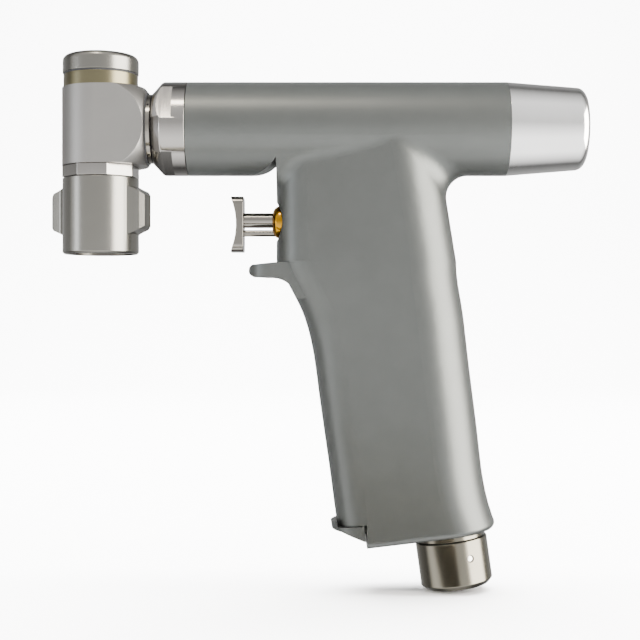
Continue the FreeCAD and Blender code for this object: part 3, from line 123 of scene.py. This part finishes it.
def combined(shape, tool, operation):
    """One shape cut by, joined to or kept inside another."""
    shapes = []
    for bm in (shape, tool):
        mesh = bpy.data.meshes.new("blank")
        bm.to_mesh(mesh)
        bm.free()
        blank = bpy.data.objects.new("blank", mesh)
        bpy.context.scene.collection.objects.link(blank)
        shapes.append(blank)
    modifier = shapes[0].modifiers.new("machining", "BOOLEAN")
    modifier.operation, modifier.solver, modifier.object = operation, "EXACT", shapes[1]
    result = bmesh.new()
    result.from_object(shapes[0], bpy.context.evaluated_depsgraph_get())
    for blank in shapes:
        mesh = blank.data
        bpy.data.objects.remove(blank)
        bpy.data.meshes.remove(mesh)
    bmesh.ops.remove_doubles(result, verts=result.verts[:], dist=1e-4)
    return result


def rounded(bm, size, segments=2, chosen=None):
    """Breaks the sharp edges, as a deburring tool does, or only the chosen ones."""
    edges = [edge for edge in bm.edges if len(edge.link_faces) == 2 and edge.calc_face_angle(0) > SHARP]
    if chosen:
        edges = [edge for edge in edges if chosen(edge)]
    bmesh.ops.bevel(bm, geom=edges, offset=size, segments=segments, profile=0.5, affect="EDGES",
                    clamp_overlap=True, material=-1)
    return bm


def upright(edge):
    """True for an edge along Z."""
    first, second = (vert.co for vert in edge.verts)
    return (first.xy - second.xy).length < 1e-4


def piece(name, bm, material, slot, body, *nodes):
    """Scales a shape to metres and makes it a piece that moves with a body and stands for the solids."""
    bmesh.ops.scale(bm, vec=(MM, MM, MM), verts=bm.verts[:])
    mesh = bpy.data.meshes.new(name)
    bm.to_mesh(mesh)
    bm.free()
    mesh.materials.append(material)
    mesh.shade_smooth()
    mesh.set_sharp_from_angle(angle=math.radians(50))
    made = bpy.data.objects.new(name, mesh)
    bpy.context.scene.collection.objects.link(made)
    smooth = made.modifiers.new("even shading", "WEIGHTED_NORMAL")
    smooth.keep_sharp = True
    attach(made, body)
    if nodes:
        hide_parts(*nodes)


# Finishes
def add(tree, kind, values=(), links=()):
    """Adds one node. Values are (property or socket, value), links are (socket, output that feeds it)."""
    node = tree.nodes.new(kind)
    for key, value in values:
        if isinstance(key, str) and hasattr(node, key):
            setattr(node, key, value)
        else:
            node.inputs[key].default_value = value
    for key, output in links:
        tree.links.new(node.inputs[key], output)
    return node


def colour(hex_value):
    """An sRGB hex value as a linear colour."""
    parts = [int(hex_value[place:place + 2], 16) / 255 for place in (1, 3, 5)]
    return tuple(p / 12.92 if p <= 0.04045 else ((p + 0.055) / 1.055) ** 2.4 for p in parts) + (1.0,)


# Width in millimetres of the soft uneven patches that every finish has
CLOUD = 9


def finish(name, tone, spread, metallic, rough, rough_spread, grain, depth, stretch=(1, 1, 1), **sockets):
    """A finish with two tones, uneven roughness and a fine raised grain.

    Tone and spread are the two colours, grain is the real size of one mark in millimetres, and stretch
    makes marks longer where it is small, as a lathe or a belt leaves them.
    """
    material = bpy.data.materials.new(name)
    material.use_nodes = True
    tree = material.node_tree
    shader = tree.nodes["Principled BSDF"]
    for key, value in sockets.items():
        shader.inputs[key.replace("_", " ")].default_value = value
    shader.inputs["Metallic"].default_value = metallic
    place = add(tree, "ShaderNodeTexCoord").outputs["Object"]
    scaled = add(tree, "ShaderNodeMapping", [("Scale", stretch)], [("Vector", place)]).outputs[0]
    marks = add(tree, "ShaderNodeTexNoise", [("Scale", 1 / (grain * MM)), ("Detail", 3.0)],
                [("Vector", scaled)])
    cloud = add(tree, "ShaderNodeTexNoise", [("Scale", 1 / (CLOUD * MM)), ("Detail", 2.0)], [("Vector", place)])
    mixed = add(tree, "ShaderNodeMath", [("operation", "MULTIPLY_ADD"), (1, 0.5)],
                [(0, marks.outputs[0]), (2, cloud.outputs[0])])
    tones = add(tree, "ShaderNodeMapRange", [("From Min", 0.45), ("From Max", 1.05)],
                [("Value", mixed.outputs[0])])
    ramp = add(tree, "ShaderNodeMix", [("data_type", "RGBA"), (6, colour(tone)), (7, colour(spread))],
               [(0, tones.outputs[0])])
    tree.links.new(shader.inputs["Base Color"], ramp.outputs[2])
    matt = add(tree, "ShaderNodeMapRange",
               [("To Min", rough - rough_spread), ("To Max", rough + rough_spread), ("From Min", 0.3),
                ("From Max", 0.7)],
               [("Value", marks.outputs[0])])
    tree.links.new(shader.inputs["Roughness"], matt.outputs[0])
    bump = add(tree, "ShaderNodeBump", [("Strength", 1.0), ("Distance", depth * MM)],
               [("Height", marks.outputs[0])])
    tree.links.new(shader.inputs["Normal"], bump.outputs[0])
    return material


# Housing: bead blasted, then anodised grey, so it is even and satin with a very fine grain
anodised = finish("bead blasted grey anodised aluminium", "#595b59", "#5c5e5c", 0.9, 0.40, 0.02, 0.30, 0.0010)
# Rear cap: stainless steel turned on a lathe and buffed, so it mirrors the room in soft bands
turned_steel = finish("buffed turned stainless steel", "#f4f3f1", "#faf9f7", 1.0, 0.17, 0.02, 0.60, 0.0001,
                      (1, 0.05, 0.05))
# Neck nut and bearing retainer: the same steel, darker, with a sharp sheen that sets off each flat
nut_steel = finish("satin turned stainless steel", "#9a9793", "#9e9b97", 1.0, 0.17, 0.02, 0.60, 0.0001,
                   (1, 0.05, 0.05))
# Hose connector: turned steel with a warm tone and a base colour darker than the sleeve's, the darkness being
# painted shade for the low place where it sits, still bright where a light meets it
connector_steel = finish("turned stainless steel with painted shade", "#6f6b60", "#736f64", 1.0, 0.22, 0.004, 0.60, 0.00003,
                         (0.3, 0.3, 1))
# Head cap and wing sleeve: stainless steel with an even satin polish that spreads each light into a soft band
brushed_steel = finish("satin polished stainless steel", "#7f7d77", "#82807a", 1.0, 0.27, 0.003, 0.60, 0.00003,
                       (0.3, 0.3, 1))
# Head body: glass bead blasted stainless steel, pale and matt
blasted_steel = finish("bead blasted stainless steel", "#959390", "#999794", 1.0, 0.44, 0.04, 0.28, 0.0016)
# Ring under the head cap: bronze, brushed so finely that it looks satin, a little dull and brown
bronze = finish("brushed bronze", "#716a54", "#757058", 1.0, 0.30, 0.003, 0.50, 0.00003, (0.3, 0.3, 1))
# Trigger and index ring: plain polished steel
bright_steel = finish("polished stainless steel", "#85817a", "#89857e", 1.0, 0.15, 0.01, 0.20, 0.0004)
# Trigger bush: titanium nitride on steel, yellow gold
gold = finish("titanium nitride coated steel", "#a97916", "#b5841f", 1.0, 0.18, 0.02, 0.30, 0.0004)
# Inner steel: hardened and oiled, darker
dark_steel = finish("hardened tool steel", "#77756f", "#8a8882", 1.0, 0.34, 0.06, 0.30, 0.0012)
race_steel = finish("ground bearing steel", "#b4b2ad", "#c5c3be", 1.0, 0.22, 0.05, 0.20, 0.0008,
                    (1, 0.05, 0.05))
spring_steel = finish("blued spring steel", "#5b5c60", "#6b6c70", 1.0, 0.38, 0.05, 0.30, 0.0012)
valve_alloy = finish("machined aluminium", "#b8b9ba", "#c8c9ca", 1.0, 0.36, 0.05, 0.30, 0.0015, (1, 0.05, 0.05))
# Seals: moulded nitrile rubber, near black with a dull sheen
rubber = finish("moulded nitrile rubber", "#171718", "#202021", 0.0, 0.62, 0.06, 0.40, 0.0040, IOR=1.52)
vane_polymer = finish("laminated phenolic", "#4a3524", "#5c432e", 0.0, 0.55, 0.06, 0.50, 0.0030,
                      (1, 1, 0.1), IOR=1.58)

SLOT_FINISH = {
    "anodised_grey": anodised, "polished_steel": turned_steel, "satin_steel": brushed_steel, "bronze": bronze,
    "gold_plate": gold, "black_rubber": rubber, "bearing_steel": race_steel, "spring_steel": spring_steel,
    "tool_steel": dark_steel, "vane_polymer": vane_polymer, "valve_aluminium": valve_alloy,
}
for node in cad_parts.values():
    for number, old in enumerate(node.data.materials):
        node.data.materials[number] = SLOT_FINISH[old.name.split(".")[0]]
for name, material in (("bearing_retainer", nut_steel), ("index_ring", bright_steel),
                       ("trigger_stem", bright_steel), ("trigger_guide_pin", bright_steel)):
    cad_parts[name].data.materials[0] = material


# Turned and milled steel pieces
def rear_cap():
    """Tapered cap with a rounded end, on a spigot with a seal groove."""
    return turned([
        (61.4, 0, 0), (61.4, 12.92, 2.8), (36.3, BARREL_R, 0.12), (36.3, 12.65, 0), (34.1, 12.65, 0),
        (34.1, 11.35, 0), (32.7, 11.35, 0), (32.7, 12.65, 0), (30.5, 12.65, 0.3), (30.5, 10.25, 0),
        (38.3, 10.25, 0), (40.3, 12.9, 0), (58.6, 11.5, 0), (59.8, 9.7, 0), (59.8, 0, 0),
    ], BARREL, segments=8)


def neck_nut():
    """Round nut with a cone nose, a small chamfer at the barrel and four wrench flats."""
    nut = turned([
        (NUT_FRONT, 8.7, 0), (NUT_FRONT, 11.0, 0.25), (-72.7, BARREL_R, 0.6), (NUT_REAR - 0.3, BARREL_R, 0.05),
        (NUT_REAR, BARREL_R - 0.3, 0), (NUT_REAR, 11.65, 0), (-74.9, 11.65, 0), (-74.9, 8.7, 0),
    ], BARREL)
    for turn in (60, 150, 240, 330):
        flat = block((NUT_FRONT - 1, -15, 13.6), (-69.2, 15, 20))
        about_barrel = Matrix.Rotation(math.radians(turn), 3, "X")
        bmesh.ops.rotate(flat, cent=(0, 0, 0), matrix=about_barrel, verts=flat.verts[:])
        bmesh.ops.translate(flat, vec=(0, 0, BARREL_Z), verts=flat.verts[:])
        nut = combined(nut, flat, "DIFFERENCE")
    return nut


def head_body():
    """T body, half round in front, turned to a dome at the neck, bored for the spindle and the crankshaft."""
    body = block((HEAD_X - 12.25, -12.2, HEAD_BOTTOM), (HEAD_END, 12.2, HEAD_TOP))
    rounded(body, 12.19, 40, lambda edge: upright(edge) and edge.verts[0].co.x < HEAD_X)
    dome = turned([(-112, 0, 0), (-112, 18.3, 0), (-73.5, 18.3, 18.29), (-73.5, 0, 0)], BARREL, 48)
    body = combined(body, dome, "INTERSECT")
    neck = turned([(HEAD_X + 4, 0, 0), (HEAD_X + 4, 8.6, 0), (-65.1, 8.6, 0.2), (-65.1, 0, 0)], BARREL)
    body = combined(body, neck, "UNION")
    upright_bore = turned([
        (64, 0, 0), (64, 11.0, 0), (69.0, 11.0, 0), (69.0, 9.5, 0), (84.6, 9.5, 0), (84.6, 8.5, 0),
        (91, 8.5, 0), (91, 0, 0),
    ], HEAD)
    neck_bore = turned([
        (HEAD_X, 0, 0), (HEAD_X, 6.6, 0), (HEAD_END, 6.6, 0), (HEAD_END, 6.1, 0), (-72.2, 6.1, 0),
        (-72.2, 6.5, 0), (-64, 6.5, 0), (-64, 0, 0),
    ], BARREL)
    body = combined(body, combined(upright_bore, neck_bore, "UNION"), "DIFFERENCE")
    return rounded(body, 0.22)


def head_ring():
    return turned([(HEAD_TOP, 7.5, 0), (HEAD_TOP, 11.8, 0.15), (94.0, 11.8, 0.15), (94.0, 7.5, 0)], HEAD)


def head_cap():
    """Closed cap with a broad rounded top edge."""
    return turned([
        (100.3, 0, 0), (100.3, 12.06, 2.0), (94.5, 12.06, 0.2), (94.5, 9.06, 0), (98.7, 9.06, 0), (98.7, 0, 0),
    ], HEAD, segments=8)


def bearing_retainer():
    """Eight-sided retainer with a spigot up into the head and a skirt down into the sleeve."""
    nut = bmesh.new()
    ring = bmesh.ops.create_circle(nut, cap_ends=True, segments=8, radius=12.3)["verts"]
    raised = bmesh.ops.extrude_face_region(nut, geom=nut.faces[:])["geom"]
    tops = [part for part in raised if isinstance(part, bmesh.types.BMVert)]
    bmesh.ops.translate(nut, verts=tops, vec=(0, 0, HEAD_BOTTOM - RETAINER_BOTTOM))
    bmesh.ops.recalc_face_normals(nut, faces=nut.faces[:])
    place = Matrix.Translation((HEAD_X, 0, RETAINER_BOTTOM)) @ Matrix.Rotation(math.radians(-72.5 - 90), 4, "Z")
    bmesh.ops.transform(nut, matrix=place, verts=nut.verts[:])
    rounded(nut, 0.25)
    core = turned([
        (55.0, 0, 0), (55.0, 9.9, 0.3), (57.5, 9.9, 0), (57.5, 9.3, 0), (58.3, 9.3, 0), (58.3, 9.9, 0),
        (62.5, 9.9, 0), (62.5, 11.0, 0), (69.0, 11.0, 0.3), (69.0, 0, 0),
    ], HEAD)
    bore = turned([(54, 0, 0), (54, 6.0, 0), (62.0, 6.0, 0), (62.0, 8.5, 0), (70, 8.5, 0), (70, 0, 0)], HEAD)
    return combined(combined(nut, core, "UNION"), bore, "DIFFERENCE")


def wing(turn):
    """One wing: bevelled in plan with a hollow where it leaves the sleeve, slanted above and below."""
    reach, half, root, corner = 16.7, 3.35, 5.55, 1.25
    side = [(10.45, root), (11.63, half), (reach - corner, half), (reach, half - corner)]
    plan = [(6.0, root)] + side + [(x, -y) for x, y in reversed(side)] + [(6.0, -root)]
    low, high = SLEEVE_BOTTOM + 7.8, SLEEVE_BOTTOM + 19.6
    shape = plate([(x, y, SLEEVE_BOTTOM) for x, y in plan], (0, 0, SLEEVE_TOP - SLEEVE_BOTTOM))
    hollow = [edge for edge in shape.edges
              if upright(edge) and abs(edge.verts[0].co.x - 11.63) < 0.01]
    bmesh.ops.bevel(shape, geom=hollow, offset=1.7, segments=6, profile=0.5, affect="EDGES", material=-1)
    face = [
        (0, low - 6.8), (11.7, low - 1.7), (reach - 1.4, low - 0.2), (reach + 1, low + 1.6),
        (reach + 1, high - 2.2), (reach - 1.4, high), (11.7, high + 1.7), (0, high + 6.8),
    ]
    slant = plate([(x, -10, z) for x, z in face], (0, 20, 0))
    shape = combined(shape, slant, "INTERSECT")
    place = HEAD @ Matrix.Rotation(math.radians(turn), 4, "Z")
    bmesh.ops.transform(shape, matrix=place, verts=shape.verts[:])
    return shape


def wing_sleeve():
    """Sleeve with two wings, hollow below for the blade clamp."""
    sleeve = turned([
        (SLEEVE_BOTTOM, 0, 0), (SLEEVE_BOTTOM, 11.5, 0.1), (SLEEVE_BOTTOM + 0.6, 12.1, 0.1),
        (SLEEVE_TOP, 12.1, 0.2), (SLEEVE_TOP, 0, 0),
    ], HEAD)
    for turn in (-20, 160):
        sleeve = combined(sleeve, wing(turn), "UNION")
    rounded(sleeve, 0.18, 2,
            lambda edge: min((vert.co - HEAD.translation).xy.length for vert in edge.verts) > 11.9)
    chamber = turned([
        (36, 0, 0), (36, 10.4, 0), (54.9, 10.4, 0), (54.9, 9.95, 0), (57.2, 9.95, 0), (57.2, 11.0, 0),
        (58.6, 11.0, 0), (58.6, 9.95, 0), (62, 9.95, 0), (62, 0, 0),
    ], HEAD)
    return combined(sleeve, chamber, "DIFFERENCE")


def trigger_button():
    """Finger pad, flat behind and dished in front, with rounded corners."""
    middle, half, thickness, dish, sag = 46.45, 8.8, 2.3, 22.0, 1.84
    front = BUTTON_BACK - thickness
    pad = block((front - sag, -5.5, middle - half), (BUTTON_BACK, 5.5, middle + half))
    rounded(pad, 2.5, 8, lambda edge: abs(edge.verts[0].co.x - edge.verts[1].co.x) > 1)
    place = Matrix.Translation((front - dish, 0, middle)) @ Matrix.Rotation(math.radians(90), 4, "X")
    scoop = turned([(-8, 0, 0), (-8, dish, 0), (8, dish, 0), (8, 0, 0)], place, steps=256)
    return rounded(combined(pad, scoop, "DIFFERENCE"), 0.3, 3)


def trigger_bush():
    """Guide bush with a domed flange, pierced for the stem and the guide pin."""
    bush = turned([
        (-38.2, 0, 0), (-38.2, 3.7, 1.4), (-36.6, 5.2, 0.9), (-34.8, 5.2, 0.1), (-34.8, 5.0, 0),
        (-24.5, 5.0, 0.2), (-24.5, 0, 0),
    ], VALVE, segments=6)
    for height, radius in ((STEM_Z, 2.45), (GUIDE_Z, 1.1)):
        place = Matrix.Translation((0, 0, height)) @ Matrix.Rotation(math.radians(90), 4, "Y")
        hole = turned([(-40, 0, 0), (-40, radius, 0), (-20, radius, 0), (-20, 0, 0)], place, steps=48)
        bush = combined(bush, hole, "DIFFERENCE")
    return bush


def around(number):
    """Turn about the connector that carries one radial locking pin, with local Z pointing outwards."""
    return (BASE @ Matrix.Rotation(math.radians(-67 + 120 * number), 4, "Z")
            @ Matrix.Translation((0, 0, PIN_DEPTH)) @ Matrix.Rotation(math.radians(90), 4, "Y"))


def hose_connector():
    """Cup with a neck and a chamfer, pierced for three radial locking pins."""
    cup = turned([
        (13.0, 3.3, 0), (13.0, 6.8, 0.4), (0, 6.8, 0), (0, 10.4, 0.1), (-1.6, 10.4, 0.2), (-1.6, 11.4, 0.5),
        (-15.3, 11.4, 0.2), (-16.8, 9.9, 0.2), (-16.8, SOCKET_R, 0.2), (-5.8, SOCKET_R, 0), (-5.8, 3.3, 0),
    ], BASE)
    for number in range(3):
        hole = turned([(7.5, 0, 0), (7.5, 1.15, 0), (13, 1.15, 0), (13, 0, 0)], around(number), steps=32)
        cup = combined(cup, hole, "DIFFERENCE")
    return cup


def locking_pins():
    """Three radial pins, a little below the surface of the cup, each with a rounded end."""
    pins = bmesh.new()
    for number in range(3):
        pin = turned([(SOCKET_R + 0.1, 0, 0), (SOCKET_R + 0.1, 1.13, 0), (11.0, 1.13, 0.35), (11.0, 0, 0)],
                     around(number), steps=32)
        mesh = bpy.data.meshes.new("pin")
        pin.to_mesh(mesh)
        pin.free()
        pins.from_mesh(mesh)
        bpy.data.meshes.remove(mesh)
    return pins


piece("rear_cap_turned", rear_cap(), turned_steel, "polished_steel", "handle", "rear_cap")
piece("neck_nut_milled", neck_nut(), nut_steel, "polished_steel", "handle", "neck_nut")
piece("head_body_milled", head_body(), blasted_steel, "satin_steel", "handle", "head_housing")
piece("head_ring_turned", head_ring(), bronze, "bronze", "handle", "head_ring")
piece("head_cap_turned", head_cap(), brushed_steel, "satin_steel", "handle", "head_cap")
piece("bearing_retainer_milled", bearing_retainer(), nut_steel, "satin_steel", "handle", "bearing_retainer")
piece("wing_sleeve_milled", wing_sleeve(), brushed_steel, "satin_steel", "wing_sleeve", "wing_sleeve")
piece("trigger_pad", trigger_button(), bright_steel, "polished_steel", "trigger", "trigger_button")
piece("trigger_bush_turned", trigger_bush(), gold, "gold_plate", "handle", "trigger_bushing")
piece("hose_cup_turned", hose_connector(), connector_steel, "satin_steel", "handle", "hose_connector")
piece("hose_locking_pins", locking_pins(), race_steel, "bearing_steel", "handle", "connector_pins")


# Studio. The polished steel shows the room, so the room has five plain tones: a bright table, a wall at eye
# level, a ceiling, a dark gap on either side of the saw, and the room behind it
TABLE, WALL, CEILING, GAP, BEHIND = "#ffffff", "#a0a0a0", "#bcbcbc", "#383838", "#888888"
ROOM_STRENGTH = 3.0
ROOM_LIGHT = [  # degrees up from the horizontal in front of the saw, tone
    (-180, BEHIND), (-115, GAP), (-70, TABLE), (-30, TABLE), (10, WALL), (65, CEILING), (115, GAP),
    (180, BEHIND),
]
# The wall as the camera sees it past the sweep
WALL_TONE = "#dcdcdc"
# The sweep, in metres: half its width, how far the floor comes forward and goes back, and its bend
SWEEP_HALF, SWEEP_FRONT, SWEEP_BACK, SWEEP_BEND = 3.0, -2.5, 1.2, 1.0
# Two corners of the black card, in millimetres
CARD_LOW, CARD_HIGH = (-250, -102, -120), (30, -100, -45)


def prop(name, bm, material_name, tone, roughness):
    """Makes a finished mesh one of the studio's own matt things, not part of the saw."""
    mesh = bpy.data.meshes.new(name)
    bm.to_mesh(mesh)
    bm.free()
    material = bpy.data.materials.new(material_name)
    material.use_nodes = True
    shader = material.node_tree.nodes["Principled BSDF"]
    shader.inputs["Base Color"].default_value = colour(tone)
    shader.inputs["Roughness"].default_value = roughness
    mesh.materials.append(material)
    made = bpy.data.objects.new(name, mesh)
    bpy.context.scene.collection.objects.link(made)
    return made


def sweep():
    """Pale floor that curves up into a backdrop."""
    bm = bmesh.new()
    floor_z = cad_low.z
    edge = [bm.verts.new((side, SWEEP_FRONT, floor_z)) for side in (-SWEEP_HALF, SWEEP_HALF)]
    line = [bm.edges.new(edge)]
    geometry = bmesh.ops.extrude_edge_only(bm, edges=line)["geom"]
    corners = [part for part in geometry if isinstance(part, bmesh.types.BMVert)]
    bmesh.ops.translate(bm, verts=corners, vec=(0, SWEEP_BACK - SWEEP_FRONT, 0))
    last = [part for part in geometry
            if isinstance(part, bmesh.types.BMEdge) and all(vert in corners for vert in part.verts)]
    bmesh.ops.spin(bm, geom=last + corners, cent=(0, SWEEP_BACK, floor_z + SWEEP_BEND), axis=(1, 0, 0),
                   angle=math.radians(90), steps=24)
    floor = prop("studio_sweep", bm, "pale paper", "#f7f7f7", 0.9)
    floor.data.shade_smooth()
    floor.visible_glossy = False


def black_flag():
    """Card low in front of the saw, seen only in reflections, that shades the foot of the grip."""
    bm = block(CARD_LOW, CARD_HIGH)
    bmesh.ops.scale(bm, vec=(MM, MM, MM), verts=bm.verts[:])
    card = prop("black_flag", bm, "black felt", "#6a665c", 1.0)
    card.visible_camera = card.visible_diffuse = card.visible_shadow = False


def softbox(name, direction, distance, size, power, tint="#ffffff", aim=(-0.02, 0, 0.04), reflected=True):
    """A rectangular soft light that faces the saw."""
    light = bpy.data.lights.new(name, "AREA")
    light.shape = "RECTANGLE"
    light.size, light.size_y = size
    light.energy = power
    light.color = colour(tint)[:3]
    lamp = bpy.data.objects.new(name, light)
    bpy.context.scene.collection.objects.link(lamp)
    way = Vector(direction).normalized()
    lamp.location = Vector(aim) + way * distance
    lamp.rotation_euler = way.to_track_quat("Z", "Y").to_euler()
    lamp.visible_camera = False
    lamp.visible_glossy = reflected


def studio():
    """Room light by height, which polished steel reflects, and one plain wall for the camera."""
    world = bpy.data.worlds.new("studio")
    bpy.context.scene.world = world
    world.use_nodes = True
    tree = world.node_tree
    way = add(tree, "ShaderNodeTexCoord").outputs["Generated"]
    parts = add(tree, "ShaderNodeSeparateXYZ", links=[(0, way)])
    front = add(tree, "ShaderNodeMath", [("operation", "MULTIPLY"), (1, -1.0)], [(0, parts.outputs["Y"])])
    lift = add(tree, "ShaderNodeMath", [("operation", "ARCTAN2")],
               [(0, parts.outputs["Z"]), (1, front.outputs[0])])
    share = add(tree, "ShaderNodeMapRange", [("From Min", -math.pi), ("From Max", math.pi)],
                [("Value", lift.outputs[0])])
    ramp = add(tree, "ShaderNodeValToRGB", links=[(0, share.outputs[0])])
    elements = ramp.color_ramp.elements
    elements[0].color, elements[-1].color = colour(ROOM_LIGHT[0][1]), colour(ROOM_LIGHT[-1][1])
    for degrees, tone in ROOM_LIGHT[1:-1]:
        elements.new((degrees + 180) / 360).color = colour(tone)
    background = tree.nodes["Background"]
    seen = add(tree, "ShaderNodeLightPath").outputs["Is Camera Ray"]
    wall = add(tree, "ShaderNodeMix", [("data_type", "RGBA"), (7, colour(WALL_TONE))],
               [(0, seen), (6, ramp.outputs[0])])
    tree.links.new(background.inputs["Color"], wall.outputs[2])
    background.inputs["Strength"].default_value = ROOM_STRENGTH


sweep()
black_flag()
studio()
softbox("right softbox", (0.945, -0.325, 0.05), 0.75, (0.75, 0.9), 38.0, "#fffaf2")
softbox("left softbox", (-0.93, -0.36, 0.05), 0.80, (0.17, 0.2), 0.7, "#eef4ff")
softbox("upper softbox", (-0.12, -0.49, 0.857), 0.80, (0.24, 0.14), 2.4, "#fff4e4",
        aim=(HEAD_END * MM, 0, BARREL_Z * MM))
softbox("backdrop light", (0.0, -0.2, 1.0), 1.6, (2.4, 1.6), 520.0, aim=(0, 0.9, 0), reflected=False)

# Camera: level, straight at the side of the saw
CAMERA_DISTANCE = 0.416
CAMERA_PLACE = Vector((-0.023, -CAMERA_DISTANCE, 0.016))
FIELD_WIDTH = 0.2048
SENSOR = 36.0
camera_data = bpy.data.cameras.new("camera")
camera_data.sensor_width = SENSOR
camera_data.lens = SENSOR * CAMERA_DISTANCE / FIELD_WIDTH
camera_data.clip_start = 0.01
camera = bpy.data.objects.new("camera", camera_data)
bpy.context.scene.collection.objects.link(camera)
camera.location = CAMERA_PLACE
camera.rotation_euler = (math.radians(90), 0, 0)
bpy.context.scene.camera = camera
